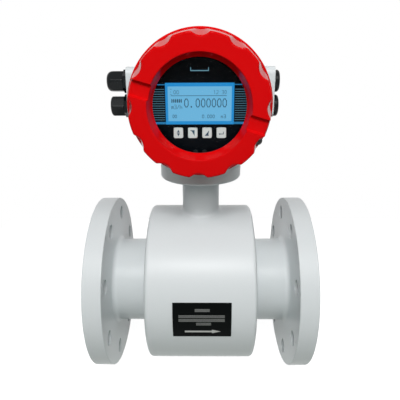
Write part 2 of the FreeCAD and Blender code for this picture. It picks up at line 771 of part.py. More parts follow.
def display_bezel():
    """The black front plate, with openings for the screen and the keys."""
    back = BEZEL_D - BEZEL_T
    plate = head_disc(CAVITY_R - COLLAR_GAP, back, BEZEL_D, -1)
    width = LCD_W / 2 + MOVING_GAP
    height = LCD_H / 2 + MOVING_GAP
    z = HEAD_Z + LCD_RISE
    plate = plate.cut(box((-width, width), (-BEZEL_D, -back), (z - height, z + height)))
    for x in key_centres():
        plate = plate.cut(key_block(x, KEY_W + 2 * MOVING_GAP, KEY_H + 2 * MOVING_GAP, back, BEZEL_D))
    for at in bezel_screw_places():
        plate = plate.cut(cylinder("y", BEZEL_SCREW_D / 2 + FIT_GAP, -BEZEL_D, -back, at))
    return plate


def bezel_screws():
    screws = []
    for at in bezel_screw_places():
        shank = cylinder("y", BEZEL_SCREW_D / 2, -BEZEL_D, -BEZEL_D + BEZEL_T, at)
        head = cylinder("y", BEZEL_SCREW_D, -BEZEL_D - BEZEL_SCREW_HEAD_T, -BEZEL_D, at)
        screws.append(head.fuse(shank).removeSplitter())
    return Part.makeCompound(screws)


def lcd_module():
    z = HEAD_Z + LCD_RISE
    return box((-LCD_W / 2, LCD_W / 2), (-LCD_D, -DISPLAY_BOARD_D), (z - LCD_H / 2, z + LCD_H / 2))


def key(x):
    """A key cap with the flange that keeps it behind the bezel."""
    flange_front = BEZEL_D - BEZEL_T
    flange_back = flange_front - KEY_FLANGE_T
    cap = key_block(x, KEY_W, KEY_H, flange_front, BEZEL_D + KEY_PROUD)
    rim = key_block(x, KEY_W + 2 * KEY_FLANGE, KEY_H + 2 * KEY_FLANGE, flange_back, flange_front)
    return cap.fuse(rim).removeSplitter()


def key_switches():
    """Four push switches on the display board, just clear of the pressed keys."""
    z = HEAD_Z - KEY_DROP
    half = SWITCH_SIZE / 2
    front = BEZEL_D - BEZEL_T - KEY_FLANGE_T - KEY_TRAVEL - MOVING_GAP
    switches = []
    for x in key_centres():
        switches.append(box((x - half, x + half), (-front, -DISPLAY_BOARD_D), (z - half, z + half)))
    return Part.makeCompound(switches)


def board(front):
    """A round circuit board with holes for the four posts."""
    plate = head_disc(CAVITY_R - BOARD_GAP, front - BOARD_T, front, -1)
    for at in post_places():
        plate = plate.cut(cylinder("y", POST_D / 2 + FIT_GAP, -front, -front + BOARD_T, at))
    return plate


def main_board_front():
    return PARTITION_T / 2 - PARTITION_Y + MAIN_BOARD_LIFT


def board_posts():
    """Four posts from the partition to the back of the bezel."""
    start = -(BEZEL_D - BEZEL_T)
    end = PARTITION_Y - PARTITION_T / 2
    return Part.makeCompound([cylinder("y", POST_D / 2, start, end, at) for at in post_places()])


def power_module():
    front = main_board_front()
    return box(
        (-POWER_MODULE_W / 2, POWER_MODULE_W / 2),
        (-front - POWER_MODULE_T, -front),
        (HEAD_Z - POWER_MODULE_H / 2, HEAD_Z + POWER_MODULE_H / 2),
    )


# Terminals


def terminal_rows():
    return [HEAD_Z + TERMINAL_PITCH_Z / 2, HEAD_Z - TERMINAL_PITCH_Z / 2]


def terminal_blocks():
    back = PARTITION_Y + PARTITION_T / 2
    strips = []
    for z in terminal_rows():
        strips.append(box(
            (-TERMINAL_W / 2, TERMINAL_W / 2),
            (back, back + TERMINAL_T),
            (z - TERMINAL_H / 2, z + TERMINAL_H / 2),
        ))
    return Part.makeCompound(strips)


def terminal_screws():
    face = PARTITION_Y + PARTITION_T / 2 + TERMINAL_T
    pitch = TERMINAL_W / TERMINAL_SCREW_COUNT
    screws = []
    for z in terminal_rows():
        for index in range(TERMINAL_SCREW_COUNT):
            x = (index - (TERMINAL_SCREW_COUNT - 1) / 2) * pitch
            head = cylinder("y", TERMINAL_SCREW_D / 2, face, face + TERMINAL_SCREW_T, (x, z))
            slot = box(
                (x - TERMINAL_SCREW_D, x + TERMINAL_SCREW_D),
                (face + TERMINAL_SCREW_T / 2, face + TERMINAL_SCREW_T),
                (z - TERMINAL_SLOT_W / 2, z + TERMINAL_SLOT_W / 2),
            )
            screws.append(head.cut(slot))
    return Part.makeCompound(screws)


# Glands and plugs: built on the X axis with the boss face at x = 0, then put in a port


def at_port(shape, side, row):
    """Move a piece built along +X to a port on the left (-1) or the right (1)."""
    if side < 0:
        shape.rotate(FreeCAD.Vector(), FreeCAD.Vector(0, 0, 1), 180)
    shape.translate(FreeCAD.Vector(side * PORT_FACE_X, PORT_Y, PORT_HEIGHTS[row]))
    return shape


def port_washer():
    return ring("x", WASHER_OD / 2, PORT_D / 2 + MOVING_GAP, 0, WASHER_T)


def gland_body():
    hex_end = WASHER_T + GLAND_HEX_T
    body = hexagon(GLAND_AF, WASHER_T, hex_end)
    body = body.fuse(cylinder("x", PORT_D / 2 - FIT_GAP, -GLAND_STUB, WASHER_T))
    body = body.fuse(cylinder("x", GLAND_NECK_D / 2, hex_end, hex_end + GLAND_NECK))
    body = body.cut(cylinder("x", GLAND_BORE_D / 2, -GLAND_STUB, hex_end + GLAND_NECK))
    seat = hex_end + GLAND_NECK - INSERT_SEAT
    insert_r = INSERT_BORE_D / 2 + INSERT_WALL
    body = body.cut(cylinder("x", insert_r + MOVING_GAP, seat, hex_end + GLAND_NECK))
    return body.removeSplitter()


def gland_insert(nut_length):
    """The rubber bush that grips the cable."""
    hex_end = WASHER_T + GLAND_HEX_T
    seat = hex_end + GLAND_NECK - INSERT_SEAT
    end = hex_end + nut_length - NUT_END_T
    return ring("x", INSERT_BORE_D / 2 + INSERT_WALL, INSERT_BORE_D / 2, seat + FIT_GAP, end)


def gland_nut(nut_length, dome, end_d, turn):
    """A hexagonal nut with a rounded end, open for the cable."""
    start = WASHER_T + GLAND_HEX_T + MOVING_GAP
    end = WASHER_T + GLAND_HEX_T + nut_length
    shoulder = end - dome
    corner_r = NUT_AF / 2 * HEX_CORNER - NUT_CHAMFER
    end_r = end_d / 2
    outline = [(start, 0), (start, corner_r), (shoulder, corner_r)]
    for step in range(1, NUT_DOME_STEPS + 1):
        angle = math.radians(90 / NUT_DOME_STEPS * step)
        outline.append((shoulder + dome * math.sin(angle), end_r + (corner_r - end_r) * math.cos(angle)))
    outline.append((end, 0))
    nut = hexagon(NUT_AF, start, end, turn).common(turned_x(outline))
    nut = nut.cut(cylinder("x", GLAND_NECK_D / 2 + MOVING_GAP, start, end - NUT_END_T))
    return nut.cut(cylinder("x", GLAND_BORE_D / 2, start, end))


def plug():
    """A round-headed blanking plug with a coin slot."""
    end = WASHER_T + PLUG_HEAD_T
    head = cylinder("x", PLUG_HEAD_D / 2, WASHER_T, end)
    rim = [edge for edge in head.Edges if len(edge.Vertexes) == 1 and edge.BoundBox.XMin > end - PICK_SLACK]
    head = head.makeFillet(PLUG_EDGE_R, rim)
    slot = box((end - PLUG_SLOT_DEPTH, end), (-PLUG_SLOT_W / 2, PLUG_SLOT_W / 2), (-PLUG_HEAD_D, PLUG_HEAD_D))
    stub = cylinder("x", PORT_D / 2 - MOVING_GAP, -PLUG_STUB, WASHER_T)
    return head.cut(slot).fuse(stub).removeSplitter()


PARTS = {
    "measuring_tube": measuring_tube(),
    "inlet_flange": flange(-1),
    "outlet_flange": flange(1),
    "liner": liner(),
    "tube_welds": tube_welds(),
    "liner_flares": liner_flares(),
    "electrodes": Part.makeCompound([electrode(-1), electrode(1)]),
    "electrode_bushes": Part.makeCompound([electrode_bush(-1), electrode_bush(1)]),
    "electrode_nuts": Part.makeCompound([electrode_nut(-1), electrode_nut(1)]),
    "coil_housing": coil_housing(),
    "upper_pole": pole(1),
    "lower_pole": pole(-1),
    "upper_coil": coil(1),
    "lower_coil": coil(-1),
    "magnetic_yoke": magnetic_yoke(),
    "flow_label": flow_label(),
    "neck_tube": neck_tube(),
    "neck_weld": neck_weld(),
    "neck_flange": neck_flange(),
    "neck_gasket": neck_gasket(),
    "neck_screws": neck_screws(),
    "earth_screw": earth_screw(),
    "head_housing": head_housing(),
    "housing_bosses": housing_bosses(),
    "housing_foot": housing_foot(),
    "front_cover": front_cover(),
    "rear_cover": rear_cover(),
    "front_lock_screw": lock_screw(-1),
    "rear_lock_screw": lock_screw(1),
    "front_seal": cover_seal(-1),
    "rear_seal": cover_seal(1),
    "window_gasket": window_gasket(),
    "window_glass": window_glass(),
    "window_retainer": window_retainer(),
    "display_bezel": display_bezel(),
    "bezel_screws": bezel_screws(),
    "lcd_module": lcd_module(),
    "key_switches": key_switches(),
    "display_board": board(DISPLAY_BOARD_D),
    "main_board": board(main_board_front()),
    "board_posts": board_posts(),
    "power_module": power_module(),
    "terminal_blocks": terminal_blocks(),
    "terminal_screws": terminal_screws(),
}

for name, x in zip(("key_updown", "key_left", "key_right", "key_enter"), key_centres()):
    PARTS[name] = key(x)

GLANDS = {
    "upper": (UPPER_NUT_LENGTH, UPPER_NUT_DOME, UPPER_NUT_END_D, UPPER_NUT_ANGLE),
    "lower": (LOWER_NUT_LENGTH, LOWER_NUT_DOME, LOWER_NUT_END_D, LOWER_NUT_ANGLE),
}
for row, nut_sizes in GLANDS.items():
    PARTS[row + "_gland_washer"] = at_port(port_washer(), -1, row)
    PARTS[row + "_gland_body"] = at_port(gland_body(), -1, row)
    PARTS[row + "_gland_insert"] = at_port(gland_insert(nut_sizes[0]), -1, row)
    PARTS[row + "_gland_nut"] = at_port(gland_nut(*nut_sizes), -1, row)
    PARTS[row + "_plug_washer"] = at_port(port_washer(), 1, row)
    PARTS[row + "_plug"] = at_port(plug(), 1, row)

os.makedirs("parts", exist_ok=True)
for node, shape in PARTS.items():
    shape.exportStep("parts/" + node + ".step")
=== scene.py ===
from collections import namedtuple
import math

import bmesh
import bpy
from mathutils import Matrix, Vector

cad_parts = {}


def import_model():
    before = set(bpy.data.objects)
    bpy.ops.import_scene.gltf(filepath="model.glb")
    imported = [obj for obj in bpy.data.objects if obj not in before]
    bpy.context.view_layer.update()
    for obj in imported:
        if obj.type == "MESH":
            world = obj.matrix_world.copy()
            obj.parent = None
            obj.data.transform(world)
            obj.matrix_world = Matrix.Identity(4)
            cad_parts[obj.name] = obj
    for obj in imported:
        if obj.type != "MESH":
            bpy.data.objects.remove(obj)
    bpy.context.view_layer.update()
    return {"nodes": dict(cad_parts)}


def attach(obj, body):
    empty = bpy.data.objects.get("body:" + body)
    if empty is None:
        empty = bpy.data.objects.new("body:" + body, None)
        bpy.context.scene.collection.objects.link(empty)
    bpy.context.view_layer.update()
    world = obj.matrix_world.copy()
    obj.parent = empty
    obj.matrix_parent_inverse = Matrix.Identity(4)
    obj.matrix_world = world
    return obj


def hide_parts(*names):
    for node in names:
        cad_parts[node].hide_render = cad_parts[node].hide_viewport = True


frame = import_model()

# Looks for the electromagnetic flow meter. Lengths are in millimetres, as in the CAD source,
# and are turned into metres when a mesh is written. Lamps are in metres and watts.

MM = 0.001

# Camera: a normal lens a little above the meter, looking down at it
CAMERA_X = 4.9
CAMERA_BACK = 497.7
CAMERA_Z = 280.9
CAMERA_PITCH = 0.326
CAMERA_YAW = -0.012
CAMERA_ROLL = -0.005
CAMERA_LENS = 36.94
SENSOR = 36.0
NEAREST_SEEN = 10.0
FARTHEST_SEEN = 20000.0

# Light: how strongly the surroundings and the floor light the object
WORLD_LIGHT = 0.06
FLOOR_Z = -110.2
FLOOR_REACH = 500.0
FLOOR_COLOUR = (0.19, 0.23, 0.20)
FLOOR_GLOW = 0.85

# Softboxes: place, width, height, power, and whether shiny surfaces mirror them
LAMP_TARGET = (0.0, 0.0, 0.1)
LAMPS = {
    "wide_light": ((0.0, -1.1, 1.1), 2.6, 0.8, 16.5, True),
    "back_light": ((0.0, 1.6, 0.2), 1.6, 0.6, 8.0, False),
    "key_light": ((0.0, -1.08, 1.14), 0.36, 0.18, 8.0, True),
}

# Clearances and the head that the drawn pieces sit on, as in the CAD source
FIT_GAP = 0.05
MOVING_GAP = 0.3
HEAD_Z = 238.0
HOUSING_HALF = 60.0
THREAD_R = 62.7
CAVITY_R = 58.7

# Covers. GLASS_STACK is the window gasket, the glass, its retainer and a gap.
COVER_T = 35.0
COVER_WALL = 13.0
COVER_DRAFT = 5.5
COVER_GAP = 0.3
COVER_LIP_T = 3.0
COVER_FACE_T = 11.0
LIP_EDGE = 1.5
COLLAR_GAP = 2.0
COLLAR_WALL = 4.0
GLASS_LEDGE = 5.5
GLASS_STACK = 10.0
SIGHT_DEPTH = 16.0
SIGHT_FLARE = 4.3
SEAL_T = 2.5
SEAL_W = 2.6
WEB_T = 6.0
WEB_COVE = 3.0
SCALLOP_COUNT = 12
SCALLOP_R = 13.0
SCALLOP_DEPTH = 4.3
SCALLOP_TILT = math.radians(14.8)
SCALLOP_PHASE = math.radians(89.0)
CHANNEL_W = 16.0
CHANNEL_FLOOR_W = 13.0
CHANNEL_DEPTH = 4.0
CHANNEL_ANGLE = math.radians(-16.5)
LOCK_SCALLOP = 8
LOCK_INSET = 4.3
LOCK_HEAD_R = 4.5

# Gland nuts: how far each reaches, how it rounds off, and how far it is turned
PORT_FACE_X = 88.0
PORT_Y = 20.0
PORT_HEIGHTS = {"upper": 258.0, "lower": 229.0}
NUTS = {
    "upper": {"length": 19.8, "dome": 9.3, "end_r": 6.9, "turn": math.radians(-20)},
    "lower": {"length": 16.8, "dome": 4.5, "end_r": 7.8, "turn": math.radians(-30)},
}
NUT_BACK = 4.7
NUT_AF = 23.0
NUT_CHAMFER = 0.4
NUT_END_T = 2.5
GLAND_NECK_R = 9.3
GLAND_BORE_R = 6.5

# Display, keys and label
LCD_W = 70.2
LCD_H = 41.4
LCD_RISE = 1.4
LCD_INSET = 0.5
BEZEL_GAP = 1.0
KEYS = ("key_updown", "key_left", "key_right", "key_enter")
KEY_DROP = 28.0
KEY_PITCH = 14.95
KEY_PROUD = 1.2
DRUM_R = 100.0
LABEL_T = 0.6

# Worked out from the sizes above. A depth is a distance from the head's middle along Y.
COVER_BACK_D = HOUSING_HALF + COVER_GAP
LIP_FRONT_D = COVER_BACK_D + COVER_LIP_T
FACE_D = HOUSING_HALF + COVER_T
LIP_R = THREAD_R + COVER_WALL
FACE_R = LIP_R - COVER_DRAFT
COLLAR_R = CAVITY_R - COLLAR_GAP
SEAT_R = COLLAR_R - COLLAR_WALL
SIGHT_R = SEAT_R - GLASS_LEDGE
BORE_MOUTH_R = SIGHT_R + SIGHT_FLARE
SEAT_D = FACE_D - SIGHT_DEPTH
COLLAR_END_D = SEAT_D - GLASS_STACK
POCKET_D = FACE_D - COVER_FACE_T
WEB_D = SEAT_D - WEB_T
THREAD_HOLE_R = THREAD_R + MOVING_GAP
SEAL_HOLE_R = THREAD_HOLE_R + SEAL_W + 2 * MOVING_GAP
SEAL_TOP_D = HOUSING_HALF + SEAL_T + FIT_GAP
SCALLOP_PITCH = 2 * math.pi / SCALLOP_COUNT
SCALLOP_AXIS_R = FACE_R - SCALLOP_DEPTH + SCALLOP_R
LOCK_ANGLE = SCALLOP_PHASE + LOCK_SCALLOP * SCALLOP_PITCH
LOCK_R = LIP_R - LOCK_INSET
LOCK_HOLE_R = LOCK_HEAD_R + MOVING_GAP
BEZEL_D = COLLAR_END_D - BEZEL_GAP
LCD_D = BEZEL_D - LCD_INSET
LCD_Z = HEAD_Z + LCD_RISE
KEY_FACE_D = BEZEL_D + KEY_PROUD
KEY_Z = HEAD_Z - KEY_DROP
LABEL_R = DRUM_R + LABEL_T

# Rounded edges
BORE_EDGE = 1.0
RIM_EDGE = 2.0
SCALLOP_EDGE = 1.6
CHANNEL_EDGE = 0.5
NUT_EDGE = 0.5

# Screen: its figures are placed from its middle. Bars are (left, low, right, high).
TextSize = namedtuple("TextSize", "width height pitch stroke")
LARGE = TextSize(3.6, 8.0, 5.5, 0.75)
POINT = TextSize(3.6, 8.0, 5.5, 1.3)
UNIT = TextSize(1.9, 3.8, 2.9, 0.4)
TOTAL = TextSize(1.8, 3.2, 2.7, 0.4)
TOTAL_UNIT = TextSize(1.8, 3.2, 2.8, 0.4)
PERCENT = TextSize(1.6, 3.0, 2.4, 0.4)
CHANNEL_NUMBER = TextSize(2.0, 3.6, 3.0, 0.4)
CLOCK = TextSize(1.7, 3.4, 2.8, 0.4)
FIGURES = (
    ("0", -15.5, -3.0, LARGE),
    (".", -10.5, -3.0, POINT),
    ("000000", -3.8, -3.0, LARGE),
    ("m3/h", -29.0, -4.8, UNIT),
    ("0.000", 2.5, -14.2, TOTAL),
    ("m3", 22.0, -14.2, TOTAL_UNIT),
    ("00", -28.0, -14.0, PERCENT),
)
HEADER = (("00", -26.5, 10.0, CHANNEL_NUMBER), ("12:30", 14.2, 10.0, CLOCK))
HEADER_RULE = (-29.5, 8.0, 27.5, 8.5)
HEADER_MARKS = ((-30.2, 9.2, -28.6, 9.7), (-30.2, 14.4, -28.6, 14.9), (-30.2, 11.8, -29.2, 12.3))
GAUGE_RULE = (-29.0, 2.9, -18.6, 3.3)
GAUGE_BAR = (-29.0, 1.3, -28.0, 5.0)
GAUGE_COUNT = 6
GAUGE_PITCH = 1.9
SCREEN_W = 65.2
SCREEN_H = 34.8
SKIN = 0.05

# Print beside and above the screen. A band has its outer end, then how far its two edges
# lie inside the display module's nearer edge.
UPPER_BAND = (43.0, 1.0, 2.0)
LOWER_BAND = (46.5, 0.2, 2.6)
STRIPE_COUNT = 14
STRIPE_PITCH = 2.35
STRIPE_W = 0.7
STRIPE_RISE = 4.4
STRIPE_GAP = 0.8
STRIPE_REACH_R = 50.0
HOOK_W = 18.4
HOOK_H = 3.6
HOOK_Z = 271.7
HOOK_BAR_T = 0.8
HOOK_SIDE_T = 0.6

# Label: the flow arrow, and blocks of plain rules given as (low, left, right)
ARROW_Z = -12.9
ARROW_TAIL_X = -18.0
ARROW_NECK_X = 16.0
ARROW_STEP = 2.0
ARROW_HALF_W = 1.2
ARROW_HEAD_X = 13.0
ARROW_HEAD_HALF_W = 2.6
ARROW_TIP_X = 23.0
RULE_BLOCKS = ((13.2, -6.5, 10.5), (5.6, -25.0, 27.5), (0.8, -25.0, 27.5), (-4.0, -5.0, 12.0))
RULES_IN_BLOCK = 3
RULE_PITCH = 1.3
RULE_T = 0.6

# How finely the meshes are cut
COVER_COLUMNS = 540
REFERENCE_R = 62.0
CHANNEL_BEND_START = 9.5
CHANNEL_BEND_END = 15.0
CHANNEL_EDGE_STEPS = 5
LOCK_SHARES = (0.2, 0.4, 0.6, 0.75, 0.87, 0.95, 0.99, 1.01)
BORE_ROWS = 4
EDGE_ROWS = 5
FACE_ROWS = 8
WALL_ROWS = 14
LIP_CREASE = 0.02
NUT_COLUMNS = 180
NUT_ROWS = 8
SHARP_ANGLE = math.radians(38.0)


# Materials


def material(
    name, colour, roughness, metallic=0.0, shine=0.5, ior=1.5, speckle=0.04, grain=400.0, bump=0.0, edge=0.0
):
    """A surface whose colour and roughness vary a little with noise."""
    made = bpy.data.materials.new(name)
    made.use_nodes = True
    nodes = made.node_tree.nodes
    links = made.node_tree.links
    shader = nodes["Principled BSDF"]
    shader.inputs["Metallic"].default_value = metallic
    shader.inputs["Specular IOR Level"].default_value = shine
    shader.inputs["IOR"].default_value = ior
    place = nodes.new("ShaderNodeTexCoord")
    noise = nodes.new("ShaderNodeTexNoise")
    noise.inputs["Scale"].default_value = grain
    noise.inputs["Detail"].default_value = 3.0
    links.new(place.outputs["Object"], noise.inputs["Vector"])
    tint = nodes.new("ShaderNodeMix")
    tint.data_type = "RGBA"
    tint.inputs["A"].default_value = (*[c * (1 - speckle) for c in colour], 1)
    tint.inputs["B"].default_value = (*colour, 1)
    links.new(noise.outputs["Fac"], tint.inputs["Factor"])
    links.new(tint.outputs["Result"], shader.inputs["Base Color"])
    rough = nodes.new("ShaderNodeMapRange")
    rough.inputs["To Min"].default_value = roughness * 0.85
    rough.inputs["To Max"].default_value = roughness * 1.15
    links.new(noise.outputs["Fac"], rough.inputs["Value"])
    links.new(rough.outputs["Result"], shader.inputs["Roughness"])
    normal = softened_edges(nodes, edge) if edge else None
    if bump:
        normal = bumped(nodes, links, noise, bump, normal)
    if normal:
        links.new(normal, shader.inputs["Normal"])
    return made


def softened_edges(nodes, radius):
    """A normal that rounds sharp edges off in the light."""
    bevel = nodes.new("ShaderNodeBevel")
    bevel.samples = 4
    bevel.inputs["Radius"].default_value = radius * MM
    return bevel.outputs["Normal"]


def bumped(nodes, links, noise, height, normal):
    """The noise as a small relief, on top of another normal if there is one."""
    relief = nodes.new("ShaderNodeBump")
    relief.inputs["Strength"].default_value = 1.0
    relief.inputs["Distance"].default_value = height * MM
    links.new(noise.outputs["Fac"], relief.inputs["Height"])
    if normal:
        links.new(normal, relief.inputs["Normal"])
    return relief.outputs["Normal"]


def glass_material():
    """Thin clear glass that lets the light through to the display."""
    made = bpy.data.materials.new("window_glass")
    made.use_nodes = True
    nodes = made.node_tree.nodes
    links = made.node_tree.links
    nodes.remove(nodes["Principled BSDF"])
    clear = nodes.new("ShaderNodeBsdfTransparent")
    clear.inputs["Color"].default_value = (0.93, 0.95, 0.95, 1)
    shine = nodes.new("ShaderNodeBsdfGlossy")
    shine.inputs["Roughness"].default_value = 0.03
    blend = nodes.new("ShaderNodeMixShader")
    facing = nodes.new("ShaderNodeFresnel")
    facing.inputs["IOR"].default_value = 1.04
    links.new(facing.outputs["Fac"], blend.inputs["Fac"])
    links.new(clear.outputs["BSDF"], blend.inputs[1])
    links.new(shine.outputs["BSDF"], blend.inputs[2])
    links.new(blend.outputs["Shader"], nodes["Material Output"].inputs["Surface"])
    return made


def lit_material(name, colour, strength):
    """A surface that gives off its own light: the backlit display module and screen, and a painted glow on
    the bezel's printed bands, stripes and hook.
    """
    made = bpy.data.materials.new(name)
    made.use_nodes = True
    shader = made.node_tree.nodes["Principled BSDF"]
    shader.inputs["Base Color"].default_value = (0.01, 0.01, 0.01, 1)
    shader.inputs["Roughness"].default_value = 0.4
    shader.inputs["Specular IOR Level"].default_value = 0.1
    shader.inputs["Emission Color"].default_value = (*colour, 1)
    shader.inputs["Emission Strength"].default_value = strength
    return made


WHITE = material("white_enamel", (0.74, 0.78, 0.79), 0.35, shine=0.3, grain=900, bump=0.003, edge=1.0)
WELD = material("white_weld", (0.74, 0.78, 0.79), 0.35, shine=0.3, grain=900, bump=0.003)
RED = material("red_enamel", (0.72, 0.003, 0.004), 0.12, ior=1.1, speckle=0.02, grain=900, bump=0.001)
RUBBER = material("black_rubber", (0.02, 0.02, 0.02), 0.7, grain=1500, bump=0.02)
NYLON = material(
    "black_nylon", (0.003, 0.005, 0.006), 0.2, shine=0.3, ior=1.35, grain=1500, bump=0.003, edge=0.5
)
STEEL = material("screw_steel", (0.55, 0.55, 0.53), 0.3, metallic=1.0, grain=1200)
BLACK_STEEL = material("black_steel", (0.015, 0.015, 0.015), 0.35, grain=1200)
BLACK = material("bezel_black", (0.002, 0.003, 0.005), 0.3, shine=0.05, grain=1200)
GREY = material("key_grey", (0.86, 0.92, 0.89), 0.5, grain=1500, edge=0.4)
BOARD = material("board_green", (0.02, 0.16, 0.07), 0.5)
BRASS = material("post_brass", (0.70, 0.52, 0.22), 0.3, metallic=1.0)
COPPER = material("coil_copper", (0.62, 0.26, 0.12), 0.4, metallic=1.0)
IRON = material("magnet_iron", (0.16, 0.16, 0.17), 0.5, metallic=1.0)
TAN = material("insulator_tan", (0.50, 0.40, 0.28), 0.6)
GREEN = material("terminal_green", (0.03, 0.26, 0.12), 0.5)
LABEL = material("label_black", (0.002, 0.003, 0.003), 0.35, shine=0.03, grain=1200)
LCD = lit_material("lcd_blue", (0.015, 0.30, 0.72), 0.9)
SCREEN = lit_material("lcd_screen", (0.17, 0.51, 0.80), 0.95)
# The bezel's printed bands, stripes and hook get a painted glow: they give off light though they are only
# print, not a lamp.
PAINTED_GLOW_BAND = lit_material("bezel_band_painted_glow", (0.02, 0.25, 0.55), 0.7)
PAINTED_GLOW_STRIPE = lit_material("bezel_stripe_painted_glow", (0.06, 0.16, 0.22), 1.0)
PAINTED_GLOW_HOOK = lit_material("bezel_hook_painted_glow", (0.20, 0.45, 0.60), 0.8)
INK = material("dark_ink", (0.02, 0.08, 0.13), 0.5, grain=1200)
FAINT_INK = material("faint_ink", (0.06, 0.20, 0.34), 0.5, grain=1200)
PRINT = material("label_print", (0.50, 0.51, 0.49), 0.5, grain=1200)
FINE_PRINT = material("label_rules", (0.22, 0.23, 0.22), 0.5, grain=1200)
GLASS = glass_material()

# Which CAD nodes have each material. The rest of the meter is white enamel.
NODE_MATERIALS = {
    RED: ["front_cover", "rear_cover"],
    WELD: ["neck_weld", "tube_welds"],
    RUBBER: [
        "liner", "liner_flares", "neck_gasket", "front_seal", "rear_seal", "window_gasket",
        "upper_gland_washer", "lower_gland_washer", "upper_plug_washer", "lower_plug_washer",
        "upper_gland_insert", "lower_gland_insert",
    ],
    NYLON: [
        "upper_gland_body", "lower_gland_body", "upper_gland_nut", "lower_gland_nut",
        "upper_plug", "lower_plug",
    ],
    STEEL: ["neck_screws", "earth_screw", "terminal_screws", "electrodes", "electrode_nuts"],
    BLACK_STEEL: ["front_lock_screw", "rear_lock_screw", "bezel_screws", "window_retainer"],
    BLACK: ["display_bezel", "power_module", "key_switches"],
    GREY: KEYS,
    BOARD: ["display_board", "main_board"],
    BRASS: ["board_posts"],
    COPPER: ["upper_coil", "lower_coil"],
    IRON: ["upper_pole", "lower_pole", "magnetic_yoke"],
    TAN: ["electrode_bushes"],
    GREEN: ["terminal_blocks"],
    LABEL: ["flow_label"],
    LCD: ["lcd_module"],
    GLASS: ["window_glass"],
}


def paint_nodes():
    """Give every CAD node its material."""
    for item in frame["nodes"].values():
        item.data.materials.clear()
        item.data.materials.append(WHITE)
    for chosen, names in NODE_MATERIALS.items():
        for name in names:
            frame["nodes"][name].data.materials[0] = chosen


# Meshes


def piece(name, points, faces, look, body, nodes=()):
    """Make a smooth-shaded piece from points in millimetres and tie it to the frame."""
    mesh = bpy.data.meshes.new(name)
    mesh.from_pydata([Vector(point) * MM for point in points], [], faces)
    shape = bmesh.new()
    shape.from_mesh(mesh)
    bmesh.ops.recalc_face_normals(shape, faces=shape.faces)
    shape.to_mesh(mesh)
    shape.free()
    mesh.shade_smooth()
    mesh.set_sharp_from_angle(angle=SHARP_ANGLE)
    mesh.materials.append(look)
    item = bpy.data.objects.new(name, mesh)
    bpy.context.scene.collection.objects.link(item)
    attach(item, body)
    if nodes:
        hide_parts(*nodes)
    return item


def grid_faces(columns, rows, closed_rows):
    """The quads of a grid whose columns go round; each column is a run of row points."""
    faces = []
    for column in range(columns):
        here = column * rows
        beside = (column + 1) % columns * rows
        for row in range(rows if closed_rows else rows - 1):
            after = (row + 1) % rows
            faces.append((here + row, beside + row, beside + after, here + after))
    return faces


def mix(low, high, share):
    """The value that lies a share of the way from low to high."""
    return low + (high - low) * share


def clamp(value, low, high):
    """The value, kept between low and high."""
    return max(low, min(high, value))


def soft_min(first, second, width):
    """The smaller of two values, with a rounded corner where they cross."""
    share = clamp(0.5 + 0.5 * (second - first) / width, 0, 1)
    return mix(second, first, share) - width * share * (1 - share)


def wrapped(angle):
    """The same angle, between minus and plus half a turn."""
    return (angle + math.pi) % (2 * math.pi) - math.pi


# Screw-on covers: (radius, depth) runs at many angles round the head's axis


def channel_depth(across):
    """How far the channel lowers the face at a distance from the channel's centre line."""
    slope = CHANNEL_DEPTH * (CHANNEL_W / 2 - abs(across)) / ((CHANNEL_W - CHANNEL_FLOOR_W) / 2)
    lowered = soft_min(slope, CHANNEL_DEPTH, CHANNEL_EDGE)
    return -soft_min(-lowered, 0, CHANNEL_EDGE)


def channel_offset(angle):
    """The angle from the nearer end of the channel's centre line."""
    offset = wrapped(angle - CHANNEL_ANGLE)
    return offset if abs(offset) < math.pi / 2 else wrapped(offset + math.pi)


def column_angle(nominal, radius):
    """Bend the columns near the channel so that they run along its edges."""
    offset = channel_offset(nominal)
    across = REFERENCE_R * math.sin(offset)
    share = clamp((CHANNEL_BEND_END - abs(across)) / (CHANNEL_BEND_END - CHANNEL_BEND_START), 0, 1)
    return nominal + share * (math.asin(clamp(across / radius, -1, 1)) - offset)


def cover_columns():
    """Nominal angles: an even spread, finer at the channel's edges and at the lock screw."""
    angles = [math.radians(360 * index / COVER_COLUMNS) for index in range(COVER_COLUMNS)]
    steps = range(-CHANNEL_EDGE_STEPS, CHANNEL_EDGE_STEPS + 1)
    for end in (0, math.pi):
        for edge in (CHANNEL_W / 2, CHANNEL_FLOOR_W / 2):
            for across in [edge + step * CHANNEL_EDGE / CHANNEL_EDGE_STEPS for step in steps]:
                turn = math.asin(across / REFERENCE_R)
                angles += [CHANNEL_ANGLE + end + turn, CHANNEL_ANGLE + end - turn]
    rim = math.asin(LOCK_HOLE_R / LOCK_R)
    for share in LOCK_SHARES:
        angles += [LOCK_ANGLE + share * rim, LOCK_ANGLE - share * rim]
    return sorted(angle % (2 * math.pi) for angle in angles)


def scallop_floor(angle, depth):
    """How far from the head's axis the nearest scallop leaves the wall, or None beside it."""
    offset = (angle - SCALLOP_PHASE + SCALLOP_PITCH / 2) % SCALLOP_PITCH - SCALLOP_PITCH / 2
    axis_r = SCALLOP_AXIS_R + (FACE_D - depth) * math.tan(SCALLOP_TILT)
    squeeze = math.cos(SCALLOP_TILT) ** 2
    a = squeeze * math.cos(offset) ** 2 + math.sin(offset) ** 2
    b = axis_r * squeeze * math.cos(offset)
    c = axis_r ** 2 * squeeze - SCALLOP_R ** 2
    if b * b <= a * c:
        return None
    return (b - math.sqrt(b * b - a * c)) / a


